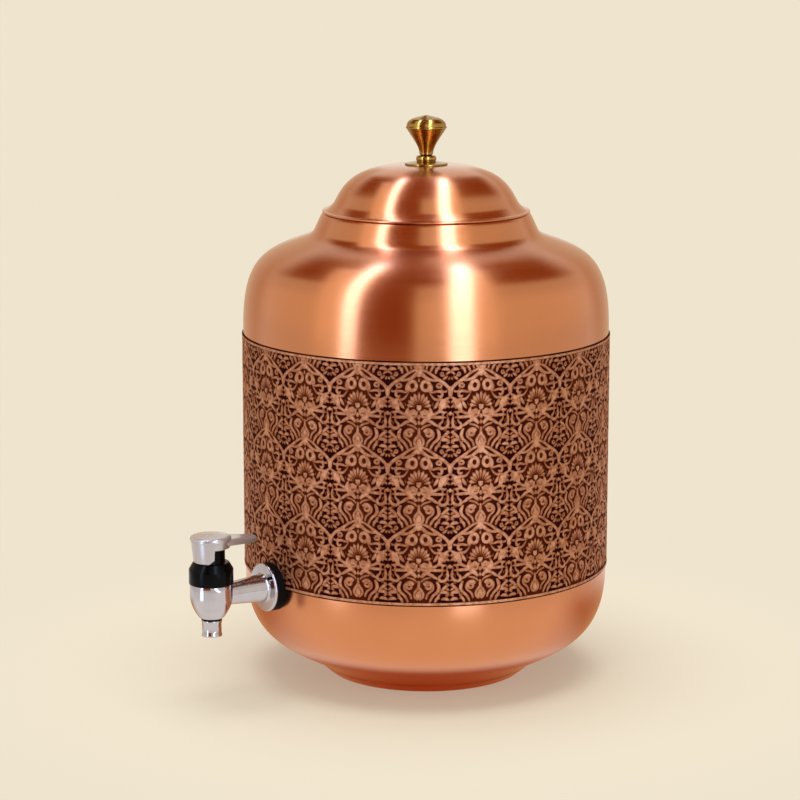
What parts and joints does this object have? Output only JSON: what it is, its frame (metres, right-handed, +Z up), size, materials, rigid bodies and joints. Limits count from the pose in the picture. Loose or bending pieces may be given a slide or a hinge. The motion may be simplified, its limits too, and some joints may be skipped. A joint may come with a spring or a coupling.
{
  "type": "water dispenser",
  "caption": "Round copper water pot with an embossed damask band, a lift-off domed lid with a brass knob, and a chrome press-lever tap near its base.",
  "frame": {"origin": "on the pot's axis, at the underside of the foot ring", "axes": "+Z up along the pot's axis, the tap points along -Y, +X to the tap's right seen from the front"},
  "size_m": [0.2, 0.2487, 0.305],
  "materials": {
    "spun_copper": "satin spun copper",
    "antiqued_copper": "embossed copper, blackened in the recesses",
    "cast_brass": "turned brass, lightly tarnished",
    "chrome_plate": "bright chrome plating",
    "black_plastic": "moulded, glossy",
    "black_rubber": "matt",
    "silicone": "translucent white, matt",
    "steel": "plain steel"
  },
  "bodies": {
    "vessel": {"lower_shell": "spun_copper", "upper_shell": "spun_copper", "decorated_band": "antiqued_copper", "foot_ring": "spun_copper", "tap_body": "chrome_plate", "outer_washer": "black_rubber", "inner_washer": "black_rubber", "shank_nut": "chrome_plate", "spout_nozzle": "chrome_plate", "spout_seal": "black_rubber", "bonnet": "black_plastic", "bonnet_gasket": "black_rubber", "return_spring": "steel"},
    "lid": {"lid_dome": "spun_copper", "lid_skirt": "spun_copper", "knob": "cast_brass", "knob_rosette": "cast_brass", "knob_washer": "steel", "knob_screw": "steel"},
    "plunger": {"seat_plug": "silicone"},
    "stem": {"valve_stem": "black_plastic", "stem_oring": "black_rubber"},
    "lever": {"lever_handle": "chrome_plate", "lever_pin": "steel"}
  },
  "joints": [
    {"name": "lid_lift", "type": "slide", "parent": "vessel", "child": "lid", "axis": [0, 0, 1], "range_m": [0, 0.12]},
    {"name": "plunger_lift", "type": "slide", "parent": "vessel", "child": "plunger", "axis": [0, 0, 1], "range_m": [0, 0.0024], "deforming": ["return_spring"]},
    {"name": "stem_swivel", "type": "hinge", "parent": "plunger", "child": "stem", "pos_m": [0, -0.137, 0.0593], "axis": [0, 0, 1], "continuous": true},
    {"name": "lever_press", "type": "hinge", "parent": "stem", "child": "lever", "pos_m": [0, -0.137, 0.0875], "axis": [-1, 0, 0], "range_deg": [0, 25], "stiffness_Nm_per_rad": 0.0151, "springref_deg": -52.08}
  ],
  "couplings": [
    {"joint": "lever_press", "follows": "plunger_lift", "rad_per_m": 181.82}
  ]
}
